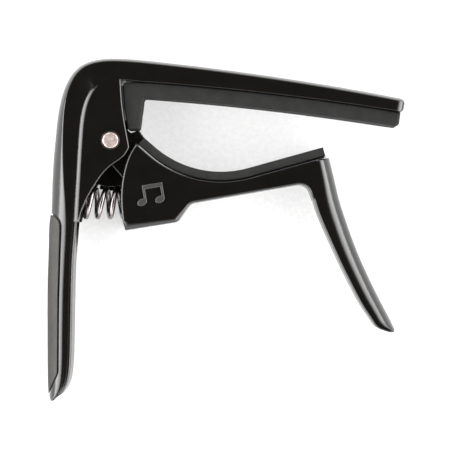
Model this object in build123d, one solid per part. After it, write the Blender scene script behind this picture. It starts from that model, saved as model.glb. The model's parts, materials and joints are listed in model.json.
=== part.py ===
import os
from math import cos, pi, radians, sin

from build123d import *

# A trigger capo for a guitar neck, lying on its side. +Z is its thickness, +X runs out along the
# bar that presses the strings, and +Y points from the handles to the bar. Every outline is drawn
# round the pivot, with Z = 0 halfway through, and the finished pieces are moved to the part's
# origin: the middle of the bounding box on the face that the capo lies on.

# ---- driving dimensions, in millimetres -----------------------------------------------------
THICK = 12.4  # over the two cheeks and the bar
SPINE_HALF = 5.6  # half thickness of the spine and the rear handle
LEVER_HALF = 5.9  # half thickness of the lever's block and arm
TRIGGER_HALF = 5.8
PAD_HALF = 5.15  # half width of both rubber pads
SLOT_HALF = 4.2  # half width of the slot between the cheeks
KNUCKLE_HALF = 3.8
KNUCKLE_R = 4.4
PIN_R = 1.8
BUSH_R = 2.6
PIN_FIT = 0.04  # running clearance of the pin in its bush, on the radius
PRESS_FIT = 0.02  # modelling gap round pieces that are pressed together
WASHER_R = 3.9
WASHER_THICK = 0.34
SPRING_Y = -14.3  # height of the spring's axis under the pivot
SPRING_R = 3.8  # outer radius
WIRE_R = 0.575
SPRING_PITCH = 2.6
SPRING_START = -9.5  # on the spine
SPRING_END = 12.1  # in the lever's block
PAD_THICK = 3.4  # string pad
NECK_PAD_THICK = 2.35
STUD_R = 2.1  # round studs inside the spring's ends
SPRING_PLAY = 0.2  # room round the spring in its recess, on the radius
WEB_R = 10.2  # outer radius of the dust web under the knuckle
WEB_HALF = 1.5
BLANK_HALF = 6.3  # half thickness of the bar before it is cut flat to THICK
GRIP_PLAY = 0.18  # open joint round the grip
GRIP_PROUD = 0.1  # how far the grip stands out of the handle's flanks
GLUE = 0.04  # gap where a rubber piece lies on metal
ORIGIN = Vector(26.25, -20.37, -THICK / 2)  # the part's origin, as seen from the pivot

# Rear handle, spine, corner and bar as one bowed bar. Each station of its back is
# (x, y, depth, crown, fullness, half thickness): depth is measured inwards from the back, crown is
# how far the back bows, and fullness goes from 1, an edge, to 2, a full ellipse.
FRAME_STATIONS = [
    (-14.00, -59.75, 1.5, 0.6, 2.0, 5.2),
    (-14.28, -59.0, 2.4, 1.3, 2.0, 5.45),
    (-14.42, -58.0, 3.5, 2.1, 1.9, 5.55),
    (-14.48, -56.8, 4.4, 2.8, 1.8, SPINE_HALF),
    (-14.50, -54.5, 5.3, 3.3, 1.7, SPINE_HALF),
    (-14.47, -51.5, 5.7, 3.4, 1.6, SPINE_HALF),
    (-14.45, -46.0, 5.9, 3.45, 1.5, SPINE_HALF),
    (-14.38, -36.0, 6.0, 3.5, 1.5, SPINE_HALF),
    (-14.20, -26.0, 6.1, 3.7, 1.5, SPINE_HALF),
    (-14.00, -20.0, 6.3, 3.8, 1.45, SPINE_HALF),
    (-13.80, -14.0, 6.5, 3.4, 1.4, SPINE_HALF),
    (-13.60, -8.2, 6.8, 2.9, 1.3, SPINE_HALF),
    (-13.32, -3.6, 7.0, 2.45, 1.3, SPINE_HALF),
    (-12.90, 1.0, 7.0, 2.05, 1.3, SPINE_HALF),
    (-12.32, 6.0, 7.0, 1.7, 1.3, 5.65),
    (-11.32, 10.4, 7.0, 1.4, 1.25, 5.75),
    (-9.80, 14.1, 7.0, 1.25, 1.25, 5.95),
    (-7.15, 17.15, 6.8, 1.1, 1.25, 6.2),
    (-3.60, 18.65, 6.2, 1.0, 1.25, BLANK_HALF),
    (1.20, 19.0, 5.35, 0.9, 1.3, BLANK_HALF),
]
BAR_START = 6.5  # where the bar's own curve takes over from the stations
BAR_END = 67.3
BAR_STEPS = 11
BAR_CROWN = 0.8

# Outer side of the lever's trigger, from the arm to the tip, in the same terms.
TRIGGER_STATIONS = [
    (49.95, -3.80, 5.9, 2.7, 1.8),
    (51.15, -8.6, 5.95, 3.0, 1.9),
    (52.33, -13.5, 5.9, 3.4, 2.0),
    (53.80, -18.1, 5.6, 3.5, 2.0),
    (55.42, -22.7, 5.2, 3.5, 2.0),
    (57.28, -27.3, 4.95, 3.4, 2.0),
    (59.37, -31.9, 4.75, 3.3, 2.0),
    (61.65, -36.5, 4.5, 3.1, 2.0),
    (62.95, -39.0, 4.2, 2.9, 2.0),
    (64.05, -41.1, 3.7, 2.5, 2.0),
    (64.65, -42.3, 2.6, 1.5, 2.0),
    (65.15, -43.4, 1.4, 0.6, 2.0),
]

# Top of the lever's arm, which the neck pad lies on: two straights and one long round.
SEAT = [(5.75, -0.75), (18.83, -12.12), (49.25, -3.68)]
SEAT_R = 25.3


def bar_top(x):
    """Height of the bar's upper line, a very long curve, at x."""
    return 19.28 - 0.0903 * x - 0.00078 * x * x


def bar_underside(x):
    """Height of the bar's lower face, a very long curve, at x."""
    return 13.75 - 0.0589 * x - 0.000782 * x * x


def slab(outline, half):
    """A flat outline made into a plate that reaches half to each side of Z = 0."""
    return extrude(outline, amount=half, both=True)


def round_rims(plate, half, radius, chosen):
    """Rounds the rims round a plate's two flat sides, where chosen says so of an edge's middle."""
    rims = [e for e in plate.edges() if abs(abs((e @ 0.5).Z) - half) < 1e-4 and chosen(e @ 0.5)]
    return fillet(rims, radius)


def crowned_section(x, y, heading, depth, crown, fullness, half, inner_round=0.5):
    """A cut across a bowed bar: a flat inner side, two flat flanks and a back that bows outwards."""
    inwards = Vector(heading.Y, -heading.X, 0)
    steps = 12
    back = []
    for k in range(steps + 1):
        turn = pi * (k / steps - 0.5)
        fall = crown * (1 - max(cos(turn), 0) ** (2 / fullness))
        back.append((fall, half * sin(turn)))
    flank = depth - inner_round
    waist = half - inner_round
    slant = inner_round * (1 - cos(pi / 4))
    edges = [
        Spline(*back),
        Line((crown, half), (flank, half)),
        ThreePointArc((flank, half), (depth - slant, half - slant), (depth, waist)),
        Line((depth, waist), (depth, -waist)),
        ThreePointArc((depth, -waist), (depth - slant, slant - half), (flank, -half)),
        Line((flank, -half), (crown, -half)),
    ]
    return Plane(origin=(x, y, 0), x_dir=inwards, z_dir=heading) * make_face(edges)


def bowed_bar(stations):
    """A solid through the sections at the stations, each square to the line through them."""
    line = Spline(*[(s[0], s[1]) for s in stations])
    sections = []
    for x, y, depth, crown, fullness, half in stations:
        heading = line.tangent_at(Vector(x, y, 0))
        sections.append(crowned_section(x, y, heading, depth, crown, fullness, half))
    return loft(sections)


def bar_stations():
    """Stations of the bar, whose depth runs from its top line to its underside."""
    stations = []
    for k in range(BAR_STEPS + 1):
        x = BAR_START + (BAR_END - BAR_START) * k / BAR_STEPS
        heading = Vector(1, (bar_top(x + 1) - bar_top(x - 1)) / 2).normalized()
        depth = bar_top(x) - bar_underside(x)
        for _ in range(4):
            depth = (bar_top(x) - bar_underside(x + depth * heading.Y)) / heading.X
        stations.append((x, bar_top(x), depth, BAR_CROWN, 1.3, BLANK_HALF))
    return stations


def cheek_plate():
    """The cheeks that hold the pivot, as one plate, up to where they run into the bar."""
    ridge_points = [(-8.0, -18.6), (-7.4, -7.9), (-6.75, 1.2), (-6.25, 5.5)]
    ridge_points += [(-5.2, 9.1), (-3.45, 11.6), (-1.6, 13.6)]
    ridge = Spline(*ridge_points)
    front = Spline((2.3, 13.6), (2.74, 8.0), (3.5, 2.8), (4.4, -1.6))
    lower = Spline((4.4, -1.6), (3.1, -3.5), (0.4, -5.55), (-3.45, -10.0), (-6.2, -15.2), (-7.3, -18.6))
    top = Line(ridge @ 1, front @ 0)
    foot = Line(lower @ 1, ridge @ 0)
    outline = make_face([ridge, top, front, lower, foot])
    outline = fillet(outline.vertices().sort_by(Axis.X)[-1], 0.7)
    plate = slab(outline, THICK / 2)
    return round_rims(plate, THICK / 2, 0.5, lambda middle: middle.X < -5 and middle.Y > -17)


def grip_outline(gap):
    """Side view of the recess for the grip; a gap of zero gives the grip itself."""
    inner = FilletPolyline(
        (-17.0, -15.9 + gap),
        (-11.5 + gap, -17.65 + gap),
        (-12.0 + gap, -36.0),
        (-12.1 + gap, -53.0),
        (-17.0, -63.4 - gap),
        radius=[2.6, 0, 3.0],
    )
    return make_face([inner, Line((-17.0, -63.4 - gap), (-17.0, -15.9 + gap))])


def spring_seat(x_low, x_high, radius):
    """A round space for a spring end, along X on the spring's axis."""
    plane = Plane(origin=(x_low, SPRING_Y, 0), x_dir=(0, 1, 0), z_dir=(1, 0, 0))
    return plane * extrude(Circle(radius), amount=x_high - x_low)


def frame_casting():
    """Rear handle, spine, cheeks and bar in one casting."""
    body = bowed_bar(FRAME_STATIONS + bar_stations())
    body += cheek_plate()
    body &= Pos(ORIGIN.X, ORIGIN.Y, 0) * Box(120, 120, THICK)
    slot = FilletPolyline((9, -27), (9, 4.9), (-8.35, 4.9), (-8.35, -27), radius=[0, 2.2])
    body -= slab(make_face([slot, Line(slot @ 1, slot @ 0)]), SLOT_HALF)
    body -= spring_seat(SPRING_START, -7.5, SPRING_R + SPRING_PLAY)
    body += spring_seat(SPRING_START - 0.3, -8.3, STUD_R)
    body -= slab(Circle(PIN_R + PRESS_FIT), THICK)
    body -= slab(grip_outline(GRIP_PLAY), THICK)
    return body


def lever_block():
    """Side view of the lever's block and arm, under the neck pad."""
    seat = FilletPolyline(*SEAT, radius=SEAT_R)
    lower = FilletPolyline(
        (49.25, -3.68),
        (47.1, -4.6),
        (49.6, -12.4),
        (45.75, -13.2),
        (44.6, -9.75),
        (18.1, -14.35),
        (15.2, -18.5),
        (3.3, -20.45),
        radius=[0, 0, 0, 2.6, 2.6, 1.2],
    )
    left = ThreePointArc(lower @ 1, (2.33, -12.3), SEAT[0])
    return make_face([seat, lower, left])


def lever_neck():
    """Side view of the part that runs between the cheeks, with the nose that stops the lever."""
    nose = [(0, 0), (2.6, 3.4), (4.6, 1.75), (6.4, 2.38), (7.55, 0.75)]
    root = [(6.02, -1.05), (8.5, -8.6), (2.7, -8.6), (1.8, -7.4), (-1.2, -4.1)]
    return Circle(KNUCKLE_R) + make_face(Polyline(*nose, *root, close=True))


def dust_web():
    """Side view of the thin web under the knuckle, a piece of a ring round the pivot."""
    start = radians(-112)
    end = radians(-58)
    middle = (start + end) / 2
    rim = ThreePointArc(
        (WEB_R * cos(start), WEB_R * sin(start)),
        (WEB_R * cos(middle), WEB_R * sin(middle)),
        (WEB_R * cos(end), WEB_R * sin(end)),
    )
    return make_face([rim, Line(rim @ 1, (0, 0)), Line((0, 0), rim @ 0)])


def lever_casting():
    """Knuckle, spring block, arm and trigger in one casting."""
    body = slab(lever_block(), LEVER_HALF)
    body = round_rims(body, LEVER_HALF, 0.5, lambda middle: middle.Y < -9.5 and 4 < middle.X < 45)
    trigger = [(*station, TRIGGER_HALF) for station in TRIGGER_STATIONS]
    body += bowed_bar(trigger)
    body += slab(lever_neck(), KNUCKLE_HALF)
    body += slab(dust_web(), WEB_HALF)
    pocket = Pos(6.6, -13.85, 0) * Box(11.2, 9.1, 2 * SLOT_HALF)
    body -= fillet(pocket.edges().filter_by(Axis.X), 1.0)
    body += spring_seat(10.6, SPRING_END + 0.3, STUD_R)
    body -= slab(Circle(BUSH_R + PRESS_FIT), THICK)
    return body


def string_pad():
    """L-shaped rubber pad: one leg under the bar, a short one down the front of the cheeks."""
    top_left = (3.35, bar_underside(3.35) - GLUE)
    columns = [12, 22, 32, 42, 52, 60]
    upper = [top_left] + [(x, bar_underside(x) - GLUE) for x in columns + [66.3]]
    face = [(x, bar_underside(x) - PAD_THICK) for x in [65.7] + columns[::-1] + [7.45]]
    outline = [
        Spline(*upper),
        Line(upper[-1], face[0]),
        Spline(*face),
        Polyline(face[-1], (6.5, 2.55), (4.2, 2.68), (3.35, 9.5), top_left),
    ]
    pad = slab(make_face(outline), PAD_HALF)
    uprights = pad.edges().filter_by(Axis.Z)
    corners = {0.9: [face[0]], 0.6: [face[-1], (6.5, 2.55), (4.2, 2.68), top_left]}
    for radius, places in corners.items():
        near = []
        for edge in uprights:
            middle = edge.center()
            if any(abs(middle.X - x) + abs(middle.Y - y) < 0.01 for x, y in places):
                near.append(edge)
        pad = fillet(near, radius)
        uprights = pad.edges().filter_by(Axis.Z)
    return pad


def neck_pad():
    """Curved rubber strip on the lever's arm, which bears on the back of the neck."""
    seat = FilletPolyline((6.1, -1.054), SEAT[1], (49.0, -3.75), radius=SEAT_R)
    strip = Wire(seat.edges()).offset_2d(NECK_PAD_THICK, side=Side.LEFT, closed=True)
    return Pos(0, GLUE, 0) * slab(make_face(strip.edges()), PAD_HALF)


def handle_grip():
    """Rubber grip let into the outer side of the rear handle."""
    back = [(-14.45, -61.0), (-14.7, -55.0), (-14.77, -49.0), (-14.8, -40.0)]
    back += [(-14.72, -31.0), (-14.5, -24.0), (-14.25, -18.2), (-13.75, -15.0)]
    stations = [(x, y, 4.2, 3.3, 2.0, SPINE_HALF + GRIP_PROUD) for x, y in back]
    return bowed_bar(stations) & slab(grip_outline(0), THICK)


def spring():
    """Left-handed compression spring between the spine and the lever's block."""
    length = SPRING_END - SPRING_START - 2 * WIRE_R
    start = (SPRING_START + WIRE_R, SPRING_Y, 0)
    path = Helix(SPRING_PITCH, length, SPRING_R - WIRE_R, start, (1, 0, 0), lefthand=True)
    wire = Plane(origin=path @ 0, z_dir=path % 0) * Circle(WIRE_R)
    return sweep(wire, path=path, is_frenet=True)


def pivot_pin():
    """Steel pin, pressed in flush with both cheeks."""
    pin = slab(Circle(PIN_R), THICK / 2)
    return chamfer(pin.edges(), 0.15)


def pivot_bush():
    """Bush pressed into the lever's knuckle, running on the pin."""
    return slab(Circle(BUSH_R) - Circle(PIN_R + PIN_FIT), KNUCKLE_HALF)


def thrust_washer(side):
    """Thin washer between the knuckle and one cheek; side is 1 for the upper one, -1 for the lower."""
    ring = slab(Circle(WASHER_R) - Circle(PIN_R + PIN_FIT), WASHER_THICK / 2)
    return Pos(0, 0, side * (KNUCKLE_HALF + SLOT_HALF) / 2) * ring


PIECES = {
    "frame_casting": frame_casting(),
    "lever_casting": lever_casting(),
    "string_pad": string_pad(),
    "neck_pad": neck_pad(),
    "handle_grip": handle_grip(),
    "spring": spring(),
    "pivot_pin": pivot_pin(),
    "pivot_bush": pivot_bush(),
    "upper_washer": thrust_washer(1),
    "lower_washer": thrust_washer(-1),
}

os.makedirs("parts", exist_ok=True)
for name, piece in PIECES.items():
    export_step(Pos(-ORIGIN.X, -ORIGIN.Y, -ORIGIN.Z) * piece, f"parts/{name}.step")
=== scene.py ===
import json
from math import acos, cos, hypot, pi, radians, sin, tan

import bpy
import bmesh
import numpy as np
from mathutils import Matrix, Vector


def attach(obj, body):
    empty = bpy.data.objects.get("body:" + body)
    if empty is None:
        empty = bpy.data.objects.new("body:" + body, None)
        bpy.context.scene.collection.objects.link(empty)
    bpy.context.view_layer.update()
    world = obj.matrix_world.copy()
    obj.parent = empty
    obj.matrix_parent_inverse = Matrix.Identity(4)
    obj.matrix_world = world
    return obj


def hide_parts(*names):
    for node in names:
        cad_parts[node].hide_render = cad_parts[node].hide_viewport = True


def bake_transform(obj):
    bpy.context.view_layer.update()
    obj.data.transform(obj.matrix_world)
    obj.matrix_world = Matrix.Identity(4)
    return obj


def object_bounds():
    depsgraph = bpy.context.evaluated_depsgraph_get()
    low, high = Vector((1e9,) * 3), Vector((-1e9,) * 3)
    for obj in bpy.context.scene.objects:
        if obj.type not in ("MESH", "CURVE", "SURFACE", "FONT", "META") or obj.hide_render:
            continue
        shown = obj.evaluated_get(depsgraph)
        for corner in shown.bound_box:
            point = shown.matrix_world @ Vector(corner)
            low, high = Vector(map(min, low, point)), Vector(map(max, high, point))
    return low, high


# A trigger capo for a guitar neck, lying on its side on a sheet of paper. The sections follow the
# order in which the capo is put together: the bench it lies on, the frame casting with its string
# pad and grip, the lever casting with its neck pad and bush, the pivot, and last the spring.

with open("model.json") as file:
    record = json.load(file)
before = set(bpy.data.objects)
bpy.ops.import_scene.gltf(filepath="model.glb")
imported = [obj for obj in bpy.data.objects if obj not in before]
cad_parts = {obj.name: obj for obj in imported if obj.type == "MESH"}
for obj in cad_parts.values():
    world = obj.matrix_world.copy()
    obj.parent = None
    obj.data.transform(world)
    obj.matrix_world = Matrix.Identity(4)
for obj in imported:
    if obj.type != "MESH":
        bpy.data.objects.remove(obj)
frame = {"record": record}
cad_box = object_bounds()


# ---- table, light and camera ------------------------------------------------------------------
# The capo lies on a large sheet of matt paper, pressed from short fibres. Tall softboxes stand to
# its left and right, brightest at the level of the paper, and straight above it is dark.

class Wire:
    """A socket of a node tree. Sums and products on it add Math nodes to that tree."""

    def __init__(self, tree, socket=None):
        self.tree = tree
        self.socket = socket

    def node(self, kind, settings=None, inputs=None, output=0):
        """Adds a node with its settings, then its inputs, and gives the output that is asked for."""
        made = self.tree.nodes.new(kind)
        for name, value in (settings or {}).items():
            setattr(made, name, value)
        for name, value in (inputs or {}).items():
            if isinstance(value, Wire):
                self.tree.links.new(value.socket, made.inputs[name])
            else:
                made.inputs[name].default_value = value
        return Wire(self.tree, made.outputs[output])

    def maths(self, operation, first, second=0.0):
        return self.node("ShaderNodeMath", {"operation": operation}, {0: first, 1: second})

    def __add__(self, other):
        return self.maths("ADD", self, other)

    def __sub__(self, other):
        return self.maths("SUBTRACT", self, other)

    def __rsub__(self, other):
        return self.maths("SUBTRACT", other, self)

    def __mul__(self, other):
        return self.maths("MULTIPLY", self, other)

    def __truediv__(self, other):
        return self.maths("DIVIDE", self, other)

    __radd__ = __add__
    __rmul__ = __mul__

    def part(self, axis):
        """One coordinate of a vector: 0, 1 or 2."""
        return self.node("ShaderNodeSeparateXYZ", None, {0: self}, axis)

    def soft_step(self, low, high):
        """Goes smoothly from 0 to 1 while this value goes from low to high."""
        limits = {"Value": self, "From Min": low, "From Max": high}
        return self.node("ShaderNodeMapRange", {"interpolation_type": "SMOOTHSTEP"}, limits)

    def between(self, first, second):
        """A colour that goes from first to second as this value goes from 0 to 1."""
        colours = {0: self, 6: (*first, 1.0), 7: (*second, 1.0)}
        return self.node("ShaderNodeMix", {"data_type": "RGBA"}, colours, 2)

    def noise(self, scale, detail=2.0, roughness=0.5):
        """Cloudy noise on this vector, with about scale clouds to a metre."""
        sizes = {"Vector": self, "Scale": scale, "Detail": detail, "Roughness": roughness}
        return self.node("ShaderNodeTexNoise", None, sizes)

    def bump(self, height, strength, depth):
        """A normal that this normal takes from a height map of the given depth in metres."""
        sizes = {"Height": height, "Strength": strength, "Distance": depth, "Normal": self}
        return self.node("ShaderNodeBump", None, sizes)


def new_material(name, fixed):
    """A material with one Principled shader, and the constants of that shader."""
    material = bpy.data.materials.new(name)
    material.use_nodes = True
    shader = material.node_tree.nodes["Principled BSDF"]
    for socket, value in fixed.items():
        shader.inputs[socket].default_value = value
    return material, shader, Wire(material.node_tree)


def feed(shader, varying):
    """Links what changes over the surface to the shader's sockets."""
    for socket, wire in varying.items():
        wire.tree.links.new(wire.socket, shader.inputs[socket])


def object_place(start):
    """Object coordinates, in metres from the part's origin."""
    return start.node("ShaderNodeTexCoord", output="Object")


def flat_normal(start):
    """The plain normal of the surface."""
    return start.node("ShaderNodeNewGeometry", output="Normal")


def new_object(name, mesh):
    """Puts a mesh in the scene as a piece."""
    piece = bpy.data.objects.new(name, mesh)
    bpy.context.scene.collection.objects.link(piece)
    return piece


PAPER_HALF = 1.6  # metres
paper_mesh = bpy.data.meshes.new("paper_sheet")
paper_corners = [(-PAPER_HALF, -PAPER_HALF, 0), (PAPER_HALF, -PAPER_HALF, 0),
                 (PAPER_HALF, PAPER_HALF, 0), (-PAPER_HALF, PAPER_HALF, 0)]
paper_mesh.from_pydata(paper_corners, [], [(0, 1, 2, 3)])
paper_sheet = new_object("paper_sheet", paper_mesh)
paper, paper_shader, start = new_material("matt_paper", {
    "Roughness": 0.9, "Specular IOR Level": 0.2,
    "Emission Color": (1.0, 1.0, 1.0, 1.0), "Emission Strength": 0.5,
})
place = object_place(start)
fibres = place.noise(900, 4.0, 0.6)
feed(paper_shader, {
    "Base Color": fibres.soft_step(0.3, 0.7).between((0.32, 0.32, 0.318), (0.37, 0.37, 0.368)),
    "Normal": flat_normal(start).bump(fibres, 0.35, 0.0004),
})
paper_mesh.materials.append(paper)

SIDE_LIGHT = 14.0  # at the horizon, straight to the left and the right
END_SHARE = 0.22  # light beyond the bar and the handles, as a share of that
ROOM_LIGHT = 0.01  # everywhere
world = bpy.data.worlds.new("studio")
bpy.context.scene.world = world
world.use_nodes = True
start = Wire(world.node_tree)
direction = start.node("ShaderNodeTexCoord", output="Generated")
sideways = start.maths("ABSOLUTE", direction.part(0))
endways = direction.part(1)
upwards = direction.part(2)
around = sideways * sideways + endways * endways * END_SHARE
boxes = around * (1 - upwards.soft_step(0.70, 0.945))
background = world.node_tree.nodes["Background"]
background.inputs["Color"].default_value = (1.0, 1.0, 1.0, 1.0)
world.node_tree.links.new((boxes * SIDE_LIGHT + ROOM_LIGHT).socket, background.inputs["Strength"])

CAMERA_HEIGHT = 0.48  # metres above the upper side of the capo
CAMERA_SPAN = 0.10455  # width of the view on that side
CAMERA_ABOVE = (0.00095, -0.00004)
camera_data = bpy.data.cameras.new("camera")
camera_data.sensor_width = 36
camera_data.lens = camera_data.sensor_width * CAMERA_HEIGHT / CAMERA_SPAN
camera = bpy.data.objects.new("camera", camera_data)
camera.location = (*CAMERA_ABOVE, cad_box[1][2] + CAMERA_HEIGHT)
bpy.context.scene.collection.objects.link(camera)
bpy.context.scene.camera = camera
bpy.context.scene.view_settings.view_transform = "Standard"


# ---- frame casting ----------------------------------------------------------------------------
# Rear handle, spine, corner, bar and the two cheeks for the pivot are one zinc die casting, blasted
# and sprayed satin black. The slot between the cheeks and the seats for spring and grip are cast in.

HALF_THICK = 6.2  # millimetres, as all sizes of the pieces from here on, measured from the pivot
SPINE_HALF = 5.6
SLOT_HALF = 4.2
PIN_R = 1.8
SPRING_Y = -14.3
SPRING_LOW = -9.5  # where the spring ends in the spine
SPRING_HIGH = 12.1  # where it ends in the lever's block
STUD_R = 2.1  # round studs inside the spring's ends
HAIR = 0.004  # keeps two flats that would lie in one plane just apart
BACK_STEPS = 24
PIVOT = Vector(frame["record"]["behaviour"]["joints"][0]["pos_m"])


def fair_line(rows):
    """A natural cubic curve through rows of numbers, spaced by their distance in x and y."""
    rows = np.array(rows, float)
    gaps = np.hypot(*np.diff(rows[:, :2], axis=0).T)
    ends = np.concatenate([[0.0], np.cumsum(gaps)])
    count = len(rows)
    system = np.eye(count)
    right = np.zeros_like(rows)
    for i in range(1, count - 1):
        system[i, i - 1:i + 2] = gaps[i - 1], 2 * (gaps[i - 1] + gaps[i]), gaps[i]
        right[i] = 6 * ((rows[i + 1] - rows[i]) / gaps[i] - (rows[i] - rows[i - 1]) / gaps[i - 1])
    bends = np.linalg.solve(system, right)

    def at(distance):
        k = int(np.clip(np.searchsorted(ends, distance, "right") - 1, 0, count - 2))
        gap = gaps[k]
        after = distance - ends[k]
        before = gap - after
        curved = (bends[k] * before ** 3 + bends[k + 1] * after ** 3) / (6 * gap)
        straight = (rows[k] / gap - bends[k] * gap / 6) * before
        straight += (rows[k + 1] / gap - bends[k + 1] * gap / 6) * after
        return curved + straight

    return ends[-1], at


def fair_points(rows, count):
    """Evenly spaced points on the fair line through rows."""
    length, at = fair_line(rows)
    return [tuple(at(length * k / (count - 1))) for k in range(count)]


def shell(name, rings):
    """A closed mesh through rings of points, with a flat face on the first and the last ring."""
    count = len(rings[0])
    faces = [tuple(range(count))[::-1], tuple((len(rings) - 1) * count + i for i in range(count))]
    for r in range(len(rings) - 1):
        for i in range(count):
            low, high = r * count, (r + 1) * count
            j = (i + 1) % count
            faces.append((low + i, low + j, high + j, high + i))
    mesh = bpy.data.meshes.new(name)
    mesh.from_pydata([point for ring in rings for point in ring], [], faces)
    return outward(new_object(name, mesh))


def outward(piece):
    """Merges the doubles of a piece and turns its faces outwards."""
    work = bmesh.new()
    work.from_mesh(piece.data)
    bmesh.ops.remove_doubles(work, verts=work.verts, dist=0.0005)
    bmesh.ops.recalc_face_normals(work, faces=work.faces)
    work.to_mesh(piece.data)
    work.free()
    return piece


def bar_section(depth, crown, fullness, half, draft, limit, inner_round, dish):
    """A cut across a bowed bar as (inwards, z): a bowed back, two flanks and an inner side with draft."""
    turns = [0.5 * pi * 0.93 * (2 * k / BACK_STEPS - 1) for k in range(BACK_STEPS + 1)]
    back = [(crown * (1 - cos(turn) ** (2 / fullness)), half * sin(turn)) for turn in turns]
    flank = []
    start_in = crown + 0.1
    end_in = depth - inner_round
    for k in range(7):
        inwards = start_in + (end_in - start_in) * k / 6
        flank.append((inwards, half - dish * sin(pi * k / 6)))
    corner = []
    for k in range(1, 5):
        turn = 0.5 * pi * k / 4
        corner.append((end_in + inner_round * sin(turn), half - inner_round * (1 - cos(turn))))
    flank = [(inwards - draft * k / 6, z) for k, (inwards, z) in enumerate(flank)]
    corner = [(inwards - draft, z) for inwards, z in corner]
    upper = flank + corner
    lower = [(inwards, -z) for inwards, z in reversed(upper)]
    return [(inwards, max(-limit, min(limit, z))) for inwards, z in back + upper + [(depth, 0.0)] + lower]


def bowed_bar(name, stations, spacing, ends, limit=HALF_THICK, inner_round=0.5, dish=0.0):
    """A bar through stations of its back: x, y, depth, crown, fullness, half thickness and draft.
    ends gives, for each end, how far it is rounded in side view and across the thickness."""
    length, at = fair_line(stations)
    first = max(ends[0])
    last = max(ends[1])
    steps = 7
    spots = [first * (1 - cos(0.5 * pi * k / steps)) for k in range(steps)]
    count = int((length - first - last) / spacing)
    spots += [first + (length - first - last) * k / count for k in range(count + 1)]
    spots += [length - last * (1 - cos(0.5 * pi * k / steps)) for k in range(steps)][::-1]
    rings = []
    for spot in spots:
        x, y, depth, crown, fullness, half, draft = at(spot)
        ahead = at(min(spot + 0.05, length))[:2] - at(max(spot - 0.05, 0.0))[:2]
        across = Vector((ahead[1], -ahead[0])).normalized()
        insets = []
        for side in range(2):
            inset = 0.0
            for left, radii in ((spot, ends[0]), (length - spot, ends[1])):
                if left < radii[side]:
                    inset += radii[side] - (radii[side] ** 2 - (radii[side] - left) ** 2) ** 0.5
            insets.append(inset)
        shrink = max(0.05, 1 - 2 * insets[0] / depth)
        flatten = max(0.05, 1 - insets[1] / half)
        ring = []
        for inwards, z in bar_section(depth, crown, fullness, half, draft, limit, inner_round, dish):
            inwards = depth / 2 + (inwards - depth / 2) * shrink
            ring.append((x + across.x * inwards, y + across.y * inwards, z * flatten))
        rings.append(ring)
    return shell(name, rings)


def rounded(corners):
    """An outline through corners (x, y, radius, rim), with an arc at each corner that has a radius."""
    outline = []
    count = len(corners)
    for i, (x, y, radius, rim) in enumerate(corners):
        here = Vector((x, y))
        back = Vector(corners[i - 1][:2]) - here
        ahead = Vector(corners[(i + 1) % count][:2]) - here
        if radius == 0:
            outline.append((x, y, rim))
            continue
        back.normalize()
        ahead.normalize()
        turn = pi - acos(max(-1.0, min(1.0, back.dot(ahead))))
        middle = (back + ahead).normalized()
        centre = here + middle * (radius / cos(turn / 2))
        first = here + back * (radius * tan(turn / 2)) - centre
        last = here + ahead * (radius * tan(turn / 2)) - centre
        steps = max(3, int(turn * max(1.0, radius) ** 0.5 / radians(7)))
        for k in range(steps + 1):
            share = k / steps
            spoke = first * sin((1 - share) * turn) / sin(turn) + last * sin(share * turn) / sin(turn)
            outline.append((centre.x + spoke.x, centre.y + spoke.y, rim))
    return outline


def circle(radius, rim=0.0, count=64):
    """A round outline about the pivot's axis."""
    turns = [2 * pi * k / count for k in range(count)]
    return [(radius * cos(turn), radius * sin(turn), rim) for turn in turns]


def plate(name, outline, half, steps=4, fall=1.0):
    """A plate with the given outline (x, y, rim and, where it differs, the rim's height). A fall of 1
    makes the rims round, and a higher one makes them flatter, like a chamfer."""
    count = len(outline)
    area = sum(outline[i - 1][0] * outline[i][1] - outline[i][0] * outline[i - 1][1] for i in range(count))
    if area < 0:
        outline = outline[::-1]
    mitres = []
    for i in range(count):
        here = Vector(outline[i][:2])
        before = (here - Vector(outline[i - 1][:2])).normalized()
        after = (Vector(outline[(i + 1) % count][:2]) - here).normalized()
        left = Vector((-before.y - after.y, before.x + after.x))
        mitres.append(left / (1 + before.dot(after)))
    upper = []
    for k in range(steps + 1 if steps else 1):
        turn = 0.5 * pi * k / max(steps, 1)
        ring = []
        for (x, y, rim, *height), mitre in zip(outline, mitres):
            inset = rim * (1 - max(cos(turn), 0.0) ** fall)
            drop = (height or [rim])[0] * (1 - sin(turn) ** fall)
            ring.append((x + mitre.x * inset, y + mitre.y * inset, half - drop))
        upper.append(ring)
    lower = [[(x, y, -z) for x, y, z in ring] for ring in upper[::-1]]
    return shell(name, lower + upper)


def prism(outline, half=9.0):
    """A tool with square rims, to cut with."""
    return plate("tool", [(x, y, 0.0) for x, y, *_ in outline], half, 0)


def combine(target, tool, operation):
    """Joins (UNION), cuts (DIFFERENCE) or trims (INTERSECT) a piece with a tool, and drops the tool."""
    step = target.modifiers.new(operation.lower(), "BOOLEAN")
    step.operation = operation
    step.solver = "EXACT"
    step.object = tool
    made = target.evaluated_get(bpy.context.evaluated_depsgraph_get())
    result = bpy.data.meshes.new_from_object(made)
    target.modifiers.clear()
    target.data = result
    bpy.data.objects.remove(tool)


def spring_seat(x_low, x_high, radius):
    """A round tool on the spring's axis, from x_low to x_high."""
    length = x_high - x_low
    tool = prism(circle(radius, count=48), length / 2)
    turn = Matrix.Rotation(pi / 2, 4, "Y")
    tool.data.transform(Matrix.Translation(((x_low + x_high) / 2, SPRING_Y, 0)) @ turn)
    return tool


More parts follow.
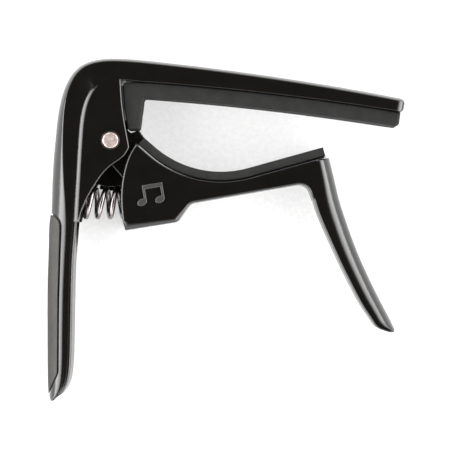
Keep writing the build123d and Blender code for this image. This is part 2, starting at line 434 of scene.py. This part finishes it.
def settle(piece, name, material, body, nodes, smooth=35):
    """Brings a piece from millimetres round the pivot to its place in metres, and hands it over."""
    piece.data.transform(Matrix.Translation(PIVOT) @ Matrix.Scale(0.001, 4))
    piece.name = name
    piece.data.name = name
    piece.data.materials.clear()
    piece.data.materials.append(material)
    piece.data.shade_smooth()
    piece.data.set_sharp_from_angle(angle=radians(smooth))
    step = piece.modifiers.new("weights", "WEIGHTED_NORMAL")
    step.keep_sharp = True
    step.weight = 80
    made = piece.evaluated_get(bpy.context.evaluated_depsgraph_get())
    result = bpy.data.meshes.new_from_object(made)
    piece.modifiers.clear()
    piece.data = result
    piece.data.name = name
    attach(piece, body)
    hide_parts(*nodes)


PAINT_IOR = 1.48
PAINT_EASE = 0.00014  # metres, how far the paint eases a sharp edge
paint, paint_shader, start = new_material("satin_black_paint", {"IOR": PAINT_IOR})
place = object_place(start)
speckle = place.noise(5200, 2.0)
peel = place.noise(1400, 1.0)
wipe = place.noise(140, 3.0, 0.6)
soft_edges = start.node("ShaderNodeBevel", {"samples": 4}, {"Radius": PAINT_EASE})
edge_turn = start.node("ShaderNodeVectorMath", {"operation": "DOT_PRODUCT"},
                       {0: soft_edges, 1: flat_normal(start)}, 1)
# Sharp edges are mixed towards a lighter grey in speckled patches: a painted highlight along the edges.
painted_edge_highlight = (1 - edge_turn).soft_step(0.02, 0.22) * speckle.soft_step(0.35, 0.6)
coat = (speckle * 0.7 + wipe * 0.3).between((0.0008, 0.0006, 0.0004), (0.0022, 0.0018, 0.0013))
feed(paint_shader, {
    "Base Color": start.node("ShaderNodeMix", {"data_type": "RGBA"},
                             {0: painted_edge_highlight * 0.35, 6: coat, 7: (0.16, 0.155, 0.145, 1.0)}, 2),
    "Roughness": 0.18 + wipe * 0.06 + speckle * 0.04,
    "Normal": soft_edges.bump(speckle, 0.10, 0.00006).bump(peel, 0.10, 0.00012),
})

BLANK_HALF = 6.3  # half thickness of the bar before it is cut flat
FRAME_STATIONS = [
    (-14.00, -59.75, 1.6, 0.8, 2.0, 5.2, 0.05),
    (-14.28, -59.0, 2.4, 1.5, 1.9, 5.45, 0.1),
    (-14.42, -58.0, 3.5, 2.3, 1.8, 5.55, 0.2),
    (-14.48, -56.8, 4.4, 2.9, 1.7, SPINE_HALF, 0.3),
    (-14.50, -54.5, 5.3, 3.4, 1.6, SPINE_HALF, 0.35),
    (-14.47, -51.5, 5.7, 3.55, 1.5, SPINE_HALF, 0.35),
    (-14.45, -46.0, 5.9, 3.6, 1.45, SPINE_HALF, 0.35),
    (-14.38, -36.0, 6.0, 3.7, 1.45, SPINE_HALF, 0.35),
    (-14.20, -26.0, 6.1, 3.95, 1.45, SPINE_HALF, 0.3),
    (-14.00, -20.0, 6.3, 4.0, 1.42, SPINE_HALF, 0.2),
    (-13.80, -14.0, 6.5, 3.5, 1.3, SPINE_HALF, 0.1),
    (-13.60, -8.2, 6.8, 2.9, 1.25, SPINE_HALF, 0),
    (-13.32, -3.6, 7.0, 2.45, 1.25, SPINE_HALF, 0),
    (-12.90, 1.0, 7.0, 2.05, 1.28, SPINE_HALF, 0),
    (-12.32, 6.0, 7.0, 1.7, 1.3, 5.65, 0),
    (-11.38, 10.4, 7.0, 1.45, 1.3, 5.75, 0),
    (-9.85, 14.15, 7.0, 1.3, 1.3, 5.95, 0),
    (-7.20, 17.2, 6.8, 1.2, 1.35, 6.2, 0),
    (-3.60, 18.65, 6.2, 1.15, 1.4, BLANK_HALF, 0),
    (1.20, 19.0, 5.35, 1.1, 1.45, BLANK_HALF, 0),
]
BAR_START = 6.5
BAR_END = 67.3
BAR_STEPS = 11
BAR_CROWN = 1.1
BAR_FULLNESS = 1.5


def bar_top(x):
    """Height of the bar's upper line at x."""
    return 19.28 - 0.0903 * x - 0.00078 * x * x


def bar_underside(x):
    """Height of the bar's lower face at x."""
    return 13.75 - 0.0589 * x - 0.000782 * x * x


def bar_stations():
    """Stations of the bar, whose depth runs from its upper line to its lower face."""
    stations = []
    for k in range(BAR_STEPS + 1):
        x = BAR_START + (BAR_END - BAR_START) * k / BAR_STEPS
        slope = (bar_top(x + 1) - bar_top(x - 1)) / 2
        lean = hypot(1, slope)
        depth = bar_top(x) - bar_underside(x)
        for _ in range(4):
            depth = (bar_top(x) - bar_underside(x + depth * slope / lean)) * lean
        stations.append((x, bar_top(x), depth, BAR_CROWN, BAR_FULLNESS, BLANK_HALF, 0))
    return stations


def grip_outline(gap):
    """Side view of the grip's seat, widened by a gap all round, or narrowed below zero."""
    return rounded([
        (-17.0, -15.9 + gap, 0, 0),
        (-11.5 + gap, -17.65 + gap, 2.6, 0),
        (-12.0 + gap, -36.0, 0, 0),
        (-12.1 + gap, -53.0, 3.0, 0),
        (-17.0, -63.4 - gap, 0, 0),
    ])


casting = bowed_bar("casting", FRAME_STATIONS + bar_stations(), 0.6, ((0.5, 0.9), (0.9, 1.9)),
                    limit=HALF_THICK - HAIR, dish=0.1)
RIDGE = [(-8.3, -18.6), (-7.7, -7.9), (-7.15, 1.2), (-6.7, 5.5),
         (-5.8, 9.1), (-4.4, 11.9), (-2.5, 14.0), (-0.9, 15.2)]
FRONT = [(2.25, 15.2), (2.35, 13.5), (2.74, 8.0), (3.5, 2.8), (4.25, -1.2)]
LOWER = [(4.0, -2.15), (3.1, -3.5), (0.4, -5.55), (-3.45, -10.0), (-6.2, -15.2), (-7.3, -18.6)]
RAMP_WIDTH = 0.95  # of the slope from the cheeks down to the spine
RAMP_HEIGHT = 0.62
cheeks = [(x, y, RAMP_WIDTH, RAMP_HEIGHT) for x, y in fair_points(RIDGE, 40)]
cheeks += [(x, y, 0.28) for x, y in fair_points(FRONT, 22)]
cheeks += [(x, y, 0.24) for x, y in [(4.27, -1.5), (4.19, -1.82)]]
cheeks += [(x, y, 0.2) for x, y in fair_points(LOWER, 34)]
combine(casting, plate("cheeks", cheeks, HALF_THICK, 8, 1.45), "UNION")
slot = [(9, -27, 0, 0), (9, 4.9, 0, 0), (-8.35, 4.9, 2.2, 0), (-8.35, -27, 0, 0)]
combine(casting, prism(rounded(slot), SLOT_HALF), "DIFFERENCE")
combine(casting, spring_seat(SPRING_LOW, -7.5, 4.0), "DIFFERENCE")
combine(casting, spring_seat(SPRING_LOW - 0.3, -8.3, STUD_R), "UNION")
MOUTH_R = 2.05  # flared ends of the bore
BORE_R = PIN_R + 0.03
upper_bore = [(BORE_R, 5.95), (MOUTH_R, 6.18), (MOUTH_R, 6.4)]
bore_profile = [(radius, -z) for radius, z in reversed(upper_bore)] + upper_bore
bore = [[(x, y, z) for x, y, _ in circle(radius)] for radius, z in bore_profile]
combine(casting, shell("bore", bore), "DIFFERENCE")
JOINT_GAP = 0.26  # open joint round the grip
combine(casting, prism(grip_outline(JOINT_GAP)), "DIFFERENCE")
settle(casting, "frame_casting_painted", paint, "frame", ["frame_casting"])


# ---- string pad -------------------------------------------------------------------------------
# The L-shaped pad that presses the strings is moulded from dense black rubber and glued under the
# bar, with its short leg down the front of the cheeks. Its rims are soft and its skin is dusty.

PAD_HALF = 5.15
PAD_THICK = 3.4
GLUE = 0.05
rubber, rubber_shader, start = new_material("pad_rubber_skin", {"Specular IOR Level": 0.12, "IOR": 1.5})
place = object_place(start)
pores = place.noise(3600, 3.0, 0.6)
dust = place.noise(420, 3.0, 0.6)
dusty = (pores * 0.6 + dust * 0.4).soft_step(0.3, 0.72)
feed(rubber_shader, {
    "Base Color": dusty.between((0.0048, 0.0049, 0.0046), (0.0120, 0.0121, 0.0115)),
    "Roughness": 0.62 + dust * 0.2,
    "Normal": flat_normal(start).bump(pores, 0.35, 0.00012),
})

PAD_START = 3.35
PAD_END = 66.1
columns = [PAD_START + (PAD_END - PAD_START) * k / 14 for k in range(15)]
string_outline = [(x, bar_underside(x) - GLUE, 0.3) for x in columns]
string_outline[0] = (3.1, bar_underside(3.1) - 0.35, 0.4)
string_outline[-1] = (PAD_END, bar_underside(PAD_END) - GLUE, 0.7)
string_outline += [(x, y, 0.85) for x, y, _ in rounded([
    (PAD_END, bar_underside(PAD_END), 0, 0),
    (65.7, bar_underside(65.7) - PAD_THICK, 0.95, 0),
    (60.0, bar_underside(60.0) - PAD_THICK, 0, 0),
])[1:-1]]
columns = [62.0 - (62.0 - 9.0) * k / 12 for k in range(13)]
string_outline += [(x, bar_underside(x) - PAD_THICK, 0.4) for x in columns]
string_outline += [(x, y, 0.4) for x, y, _ in rounded([
    (9.0, bar_underside(9.0) - PAD_THICK, 0, 0),
    (7.45, bar_underside(7.45) - PAD_THICK, 0.6, 0),
    (6.5, 2.55, 0.6, 0),
    (3.85, 2.5, 0.4, 0),
    (3.0, 8.0, 0, 0),
    (2.66, 12.4, 0, 0),
])[1:]]
pad = plate("pad", string_outline, PAD_HALF)
settle(pad, "string_pad_rubber", rubber, "frame", ["string_pad"])


# ---- handle grip ------------------------------------------------------------------------------
# The grip is a softer, greyer rubber strip let into the outer side of the rear handle. It stands
# a little proud of the casting and a fine open joint runs round it.

soft_rubber, soft_shader, start = new_material("grip_rubber_skin", {"Specular IOR Level": 0.12, "IOR": 1.5})
place = object_place(start)
pores = place.noise(3200, 3.0, 0.6)
dust = place.noise(260, 3.0, 0.6)
GRIP_SHADE_DARKEST = -0.0412  # metres, the outer side, where the painted shade on the grip is darkest
GRIP_SHADE_CLEAR = -0.0385
# The grip is painted darker towards its outer side: painted shade, mixed with pores and dust of random
# tone.
dust_and_painted_shade = (pores * 0.5 + dust * 0.5).soft_step(0.3, 0.72) * 0.45
dust_and_painted_shade += place.part(0).soft_step(GRIP_SHADE_DARKEST, GRIP_SHADE_CLEAR) * 0.55
feed(soft_shader, {
    "Base Color": dust_and_painted_shade.between((0.010, 0.0095, 0.0088), (0.040, 0.0388, 0.0362)),
    "Roughness": 0.55 + dust * 0.18,
    "Normal": start.node("ShaderNodeBevel", {"samples": 4}, {"Radius": 0.0002}).bump(pores, 0.3, 0.0001),
})
GRIP_BACK = [(-14.45, -61.0), (-14.7, -55.0), (-14.77, -49.0), (-14.8, -40.0),
             (-14.72, -31.0), (-14.5, -24.0), (-14.25, -18.2), (-13.75, -15.0)]
SQUARE = ((0.01, 0.01), (0.01, 0.01))
GRIP_PROUD = 0.1  # how far the skin stands out of the handle's flanks
CORE_DEEP = 0.5  # how far the core lies under the skin, where it fills the seat
skin = [(x, y, 4.2, 3.7, 1.5, SPINE_HALF + GRIP_PROUD, 0) for x, y in GRIP_BACK]
grip = bowed_bar("grip", skin, 0.6, SQUARE)
combine(grip, prism(grip_outline(-0.1)), "INTERSECT")
inside = [(x + CORE_DEEP, y, 3.7, 3.3, 1.5, SPINE_HALF - CORE_DEEP, 0) for x, y in GRIP_BACK]
core = bowed_bar("core", inside, 0.6, SQUARE)
combine(core, prism(grip_outline(0.2)), "INTERSECT")
combine(grip, core, "UNION")
settle(grip, "handle_grip_rubber", soft_rubber, "frame", ["handle_grip"])


# ---- lever casting ----------------------------------------------------------------------------
# Knuckle, spring block, arm and trigger are the second die casting, in the same black paint. The
# knuckle runs between the cheeks, and a thin web and skirt under it cover the gap at the spring.

LEVER_HALF = 5.9
KNUCKLE_HALF = 3.8
KNUCKLE_R = 4.4
BUSH_R = 2.6
TRIGGER_STATIONS = [
    (49.95, -3.80, 5.9, 2.7, 1.8),
    (51.15, -8.6, 5.95, 3.0, 1.9),
    (52.33, -13.5, 5.9, 3.4, 2.0),
    (53.80, -18.1, 5.6, 3.5, 2.0),
    (55.42, -22.7, 5.2, 3.5, 2.0),
    (57.28, -27.3, 4.95, 3.4, 2.0),
    (59.37, -31.9, 4.75, 3.3, 2.0),
    (61.65, -36.5, 4.5, 3.1, 2.0),
    (62.95, -39.0, 4.2, 2.9, 2.0),
    (64.05, -41.1, 3.7, 2.5, 2.0),
    (64.65, -42.3, 2.6, 1.5, 2.0),
    (65.15, -43.4, 1.4, 0.6, 2.0),
]
SEAT = [(5.75, -0.75), (18.83, -12.12), (49.25, -3.68)]
SEAT_R = 25.3
BLOCK_LEFT = [(2.72, -18.3), (2.4, -15.3), (2.33, -12.3), (2.62, -9.1),
              (3.3, -5.9), (4.35, -3.0), (5.55, -1.05)]
block = rounded([
    (*SEAT[0], 0, 0.26),
    (*SEAT[1], SEAT_R, 0.28),
    (*SEAT[2], 0, 0.28),
    (47.1, -4.6, 0, 0.28),
    (48.6, -12.6, 0, 0.28),
    (46.15, -13.6, 0, 0.45),
    (44.75, -9.7, 2.6, 0.5),
    (18.1, -14.35, 2.6, 0.6),
    (15.2, -18.6, 1.5, 1.1),
    (3.3, -20.5, 0, 1.65),
])
block += [(x, y, 0.55) for x, y in fair_points(BLOCK_LEFT, 30)]
lever = plate("lever", block, LEVER_HALF, 6)
trigger = [(*station, LEVER_HALF - HAIR, 0.1) for station in TRIGGER_STATIONS]
trigger = bowed_bar("trigger", trigger, 0.6, ((0.25, 0.35), (0.5, 0.9)))
combine(lever, trigger, "UNION")
combine(lever, plate("knuckle", circle(KNUCKLE_R, 0.25), KNUCKLE_HALF), "UNION")
NECK = [(-1.2, -4.1), (0, 0), (2.6, 3.4), (4.6, 1.75), (6.4, 2.38),
        (7.55, 0.75), (6.02, -1.05), (8.5, -8.6), (2.7, -8.6), (1.8, -7.4)]
combine(lever, plate("neck", [(x, y, 0.22) for x, y in NECK], KNUCKLE_HALF - HAIR), "UNION")


def fan(radius, first, last, step, rim):
    """Points on an arc round the pivot, from the first to the last angle in degrees."""
    turns = [radians(angle) for angle in range(first, last, step)]
    return [(radius * cos(turn), radius * sin(turn), rim) for turn in turns]


WEB_R = 10.45
WEB_HALF = 1.5
web = [(0.0, 0.0, 0.1)] + fan(WEB_R, -112, -57, 3, 0.1)
combine(lever, plate("web", web, WEB_HALF), "UNION")
SKIRT_INNER = 8.0
SKIRT_OUTER = 11.3
SKIRT_HALF = 0.13
skirt = fan(SKIRT_INNER, -58, -107, -3, 0.05) + fan(SKIRT_OUTER, -106, -57, 3, 0.05)
skirt = plate("skirt", skirt, SKIRT_HALF)
skirt.data.transform(Matrix.Translation((0, 0, 0.15 - SLOT_HALF)))
combine(lever, skirt, "UNION")
POCKET_LOW = -18.4
POCKET_HIGH = -10.3
POCKET_X = 6.6
POCKET_REACH = 5.6
pocket = [(-SLOT_HALF, POCKET_LOW, 1, 0), (SLOT_HALF, POCKET_LOW, 1, 0),
          (SLOT_HALF, POCKET_HIGH, 1, 0), (-SLOT_HALF, POCKET_HIGH, 1, 0)]
pocket = prism(rounded(pocket), POCKET_REACH)
pocket.data.transform(Matrix.Translation((POCKET_X, 0, 0)) @ Matrix.Rotation(pi / 2, 4, "Y"))
combine(lever, pocket, "DIFFERENCE")
combine(lever, spring_seat(10.6, SPRING_HIGH + 0.3, STUD_R), "UNION")
combine(lever, prism(circle(BUSH_R + 0.02)), "DIFFERENCE")
settle(lever, "lever_casting_painted", paint, "lever", ["lever_casting"])


# ---- raised mark ------------------------------------------------------------------------------
# A plain pair of beamed notes stands in low relief on the upper side of the block. It is cast with
# the lever, and handling has rubbed its paint a little greyer than the rest.


def box_outline(left, right, low, high, rim):
    """A rectangular outline."""
    return [(left, low, rim), (right, low, rim), (right, high, rim), (left, high, rim)]


def note_parts():
    """Outlines of the two heads, the two stems and the beam, round the middle of the mark."""
    parts = []
    for x, y in ((-2.35, -1.45), (1.75, -1.45)):
        head = []
        for k in range(28):
            turn = 2 * pi * k / 28
            across = 1.15 * cos(turn)
            up = 0.78 * sin(turn)
            head.append((x + across * 0.94 - up * 0.34, y + across * 0.34 + up * 0.94, 0.17))
        parts.append(head)
        parts.append(box_outline(x + 0.55, x + 1.12, y, y + 3.5, 0.17))
    parts.append(box_outline(-1.8, 2.87, 1.35, 2.35, 0.2))
    return parts


rubbed, rubbed_shader, start = new_material("rubbed_black_paint", {"IOR": PAINT_IOR})
soft_edges = start.node("ShaderNodeBevel", {"samples": 4}, {"Radius": PAINT_EASE})
grime = object_place(start).noise(5200, 2.0)
feed(rubbed_shader, {
    "Base Color": grime.between((0.009, 0.0085, 0.008), (0.020, 0.019, 0.018)),
    "Roughness": 0.34 + grime * 0.12,
    "Normal": soft_edges.bump(grime, 0.10, 0.00006),
})
mark = None
for outline in note_parts():
    part = plate("mark", outline, 0.36)
    if mark is None:
        mark = part
    else:
        combine(mark, part, "UNION")
MARK_PLACE = (9.3, -12.3, LEVER_HALF - 0.12)
MARK_TURN = radians(9.5)
mark.data.transform(Matrix.Translation(MARK_PLACE) @ Matrix.Rotation(MARK_TURN, 4, "Z"))
settle(mark, "raised_note_mark", rubbed, "lever", [])


# ---- neck pad ---------------------------------------------------------------------------------
# The curved rubber strip that bears on the back of the neck is cut from the same dense rubber and
# glued along the lever's arm, with a dark joint under it.

NECK_PAD_THICK = 2.25
GLUE_GAP = 0.2
seat = rounded([(6.1, -1.054, 0, 0), (*SEAT[1], SEAT_R, 0), (49.0, -3.75, 0, 0)])
low = []
high = []
for i, (x, y, _) in enumerate(seat):
    ahead = Vector(seat[min(i + 1, len(seat) - 1)][:2]) - Vector(seat[max(i - 1, 0)][:2])
    ahead.normalize()
    low.append((x - ahead.y * GLUE_GAP, y + ahead.x * GLUE_GAP, 0.35))
    high.append((x - ahead.y * NECK_PAD_THICK, y + ahead.x * NECK_PAD_THICK + 0.04, 0.42))
strip = plate("strip", low + high[::-1], PAD_HALF)
settle(strip, "neck_pad_rubber", rubber, "lever", ["neck_pad"])


# ---- pivot ------------------------------------------------------------------------------------
# A turned steel pin is pressed flush into both cheeks and runs in a sintered bronze bush in the
# knuckle, with a thin nylon washer on each side.

def lathe(name, profile, closed, count=72):
    """A turned piece from a profile of (radius, z): a closed ring, or one that ends on the axis."""
    rings = []
    for k in range(count):
        turn = 2 * pi * k / count
        rings.append([(radius * cos(turn), radius * sin(turn), z) for radius, z in profile])
    points = len(profile)
    faces = []
    for k in range(count):
        low, high = k * points, ((k + 1) % count) * points
        for i in range(points if closed else points - 1):
            j = (i + 1) % points
            faces.append((low + i, high + i, high + j, low + j))
    mesh = bpy.data.meshes.new(name)
    mesh.from_pydata([point for ring in rings for point in ring], [], faces)
    return outward(new_object(name, mesh))


steel, steel_shader, start = new_material("turned_steel", {"Metallic": 1.0})
place = object_place(start)
blotch = place.noise(1500, 4.0, 0.65)
feed(steel_shader, {
    "Base Color": blotch.soft_step(0.35, 0.68).between((0.42, 0.34, 0.32), (0.62, 0.52, 0.49)),
    "Roughness": 0.34 + blotch * 0.2,
    "Normal": flat_normal(start).bump(blotch, 0.25, 0.00006),
})
PIN_EASE = 0.2
turns = [0.5 * pi * k / 5 for k in range(6)]
rim = [(PIN_R - PIN_EASE + PIN_EASE * sin(turn), 6.0 + PIN_EASE * cos(turn)) for turn in turns]
pin_top = [(0.0, 6.17), (0.9, 6.175)] + rim
pin = lathe("pin", pin_top + [(radius, -z) for radius, z in reversed(pin_top)], False)
settle(pin, "pivot_pin_turned", steel, "frame", ["pivot_pin"], 30)

bronze, bronze_shader, start = new_material("sintered_bronze", {"Metallic": 1.0})
place = object_place(start)
grains = place.noise(6000, 2.0)
feed(bronze_shader, {
    "Base Color": grains.between((0.34, 0.22, 0.11), (0.62, 0.43, 0.24)),
    "Roughness": 0.38 + grains * 0.25,
    "Normal": flat_normal(start).bump(grains, 0.3, 0.00006),
})


def ring_profile(inner, outer, low, high, ease):
    """Section of a turned ring with eased corners."""
    return [(inner, low + ease), (inner + ease, low), (outer - ease, low), (outer, low + ease),
            (outer, high - ease), (outer - ease, high), (inner + ease, high), (inner, high - ease)]


PIN_FIT = 0.04
bush = lathe("bush", ring_profile(PIN_R + PIN_FIT, BUSH_R, -KNUCKLE_HALF, KNUCKLE_HALF, 0.12), True)
settle(bush, "pivot_bush_sintered", bronze, "lever", ["pivot_bush"], 30)

nylon, nylon_shader, start = new_material("natural_nylon", {"IOR": 1.53})
place = object_place(start)
haze = place.noise(900, 3.0)
feed(nylon_shader, {
    "Base Color": haze.between((0.66, 0.65, 0.60), (0.80, 0.79, 0.75)),
    "Roughness": 0.42 + haze * 0.2,
    "Normal": flat_normal(start).bump(haze, 0.15, 0.0001),
})
WASHER_R = 3.9
WASHER_HALF = 0.17
for side, node in ((1, "upper_washer"), (-1, "lower_washer")):
    middle = side * (KNUCKLE_HALF + SLOT_HALF) / 2
    section = ring_profile(PIN_R + PIN_FIT, WASHER_R, middle - WASHER_HALF, middle + WASHER_HALF, 0.06)
    washer = lathe("washer", section, True)
    settle(washer, node + "_nylon", nylon, "frame", [node], 30)


# ---- spring -----------------------------------------------------------------------------------
# A left-handed compression spring, wound from hard wire and plated dark nickel, sits between a seat
# in the spine and a pocket in the block. Its end coils lie close, and the lever bends it a little.

nickel, nickel_shader, start = new_material("dark_nickel_wire", {"Metallic": 1.0})
place = object_place(start)
drawn = place.noise(2600, 3.0, 0.6)
feed(nickel_shader, {
    "Base Color": drawn.between((0.16, 0.145, 0.14), (0.30, 0.275, 0.27)),
    "Roughness": 0.16 + drawn * 0.12,
    "Normal": flat_normal(start).bump(drawn, 0.12, 0.00005),
})

SPRING_SIZES = {
    "Low end": SPRING_LOW,
    "High end": SPRING_HIGH,
    "Height": SPRING_Y + 0.1,
    "Turns": 8.5,
    "Outer radius": 3.8,
    "Wire radius": 0.64,
    "End pitch": 1.42,
    "First turn": -0.2,
    "Fan": 0.14,
}
POINTS_PER_TURN = 48
SPRING_POINTS = int(SPRING_SIZES["Turns"] * POINTS_PER_TURN) + 1
tree = bpy.data.node_groups.new("wound_spring", "GeometryNodeTree")
tree.interface.new_socket("Geometry", in_out="OUTPUT", socket_type="NodeSocketGeometry")
for name in SPRING_SIZES:
    tree.interface.new_socket(name, in_out="INPUT", socket_type="NodeSocketFloat")
start = Wire(tree)
given = tree.nodes.new("NodeGroupInput")
size = {name: Wire(tree, given.outputs[name]) for name in SPRING_SIZES}
line = start.node("GeometryNodeMeshLine", None, {"Count": SPRING_POINTS})
route = start.node("GeometryNodeMeshToCurve", None, {0: line})
share = start.node("GeometryNodeInputIndex") / (SPRING_POINTS - 1)
turned = share * size["Turns"]
length = size["High end"] - size["Low end"] - 2 * size["Wire radius"]
open_pitch = (length - 2 * size["End pitch"]) / (size["Turns"] - 2)
low_coil = start.maths("MINIMUM", turned, 1.0)
high_coil = start.maths("MAXIMUM", turned - (size["Turns"] - 1), 0.0)
along = (low_coil + high_coil) * size["End pitch"] + (turned - low_coil - high_coil) * open_pitch
angle = (turned + size["First turn"]) * (2 * pi)
reach = size["Outer radius"] - size["Wire radius"]
up = start.maths("COSINE", angle) * reach
front = start.maths("SINE", angle) * reach * -1
lean = start.maths("SINE", (along / length - 0.5) * (2 * pi)) * size["Fan"]
spot = start.node("ShaderNodeCombineXYZ", None, {
    0: size["Low end"] + size["Wire radius"] + along - lean * up,
    1: size["Height"] + up,
    2: front,
})
coil = start.node("GeometryNodeSetPosition", None, {"Geometry": route, "Position": spot})
wire_sizes = {"Resolution": 16, "Radius": size["Wire radius"]}
round_wire = start.node("GeometryNodeCurvePrimitiveCircle", None, wire_sizes)
sweep = {"Curve": coil, "Profile Curve": round_wire, "Fill Caps": True}
wound = start.node("GeometryNodeCurveToMesh", None, sweep)
real = start.node("GeometryNodeRealizeInstances", None, {0: wound})
made = start.node("GeometryNodeSetMaterial", None, {"Geometry": real, "Material": nickel})
tree.links.new(made.socket, tree.nodes.new("NodeGroupOutput").inputs[0])

spring = new_object("spring_wire_coil", bpy.data.meshes.new("spring_wire_coil"))
step = spring.modifiers.new("wound", "NODES")
step.node_group = tree
for socket in tree.interface.items_tree:
    if socket.in_out == "INPUT":
        step[socket.identifier] = SPRING_SIZES[socket.name]
spring.data = bpy.data.meshes.new_from_object(spring.evaluated_get(bpy.context.evaluated_depsgraph_get()))
spring.modifiers.clear()
outward(spring)
spring.data.transform(Matrix.Translation(PIVOT) @ Matrix.Scale(0.001, 4))
spring.data.shade_smooth()
spring.data.set_sharp_from_angle(angle=radians(50))
spring.data.materials.clear()
spring.data.materials.append(nickel)
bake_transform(spring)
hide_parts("spring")
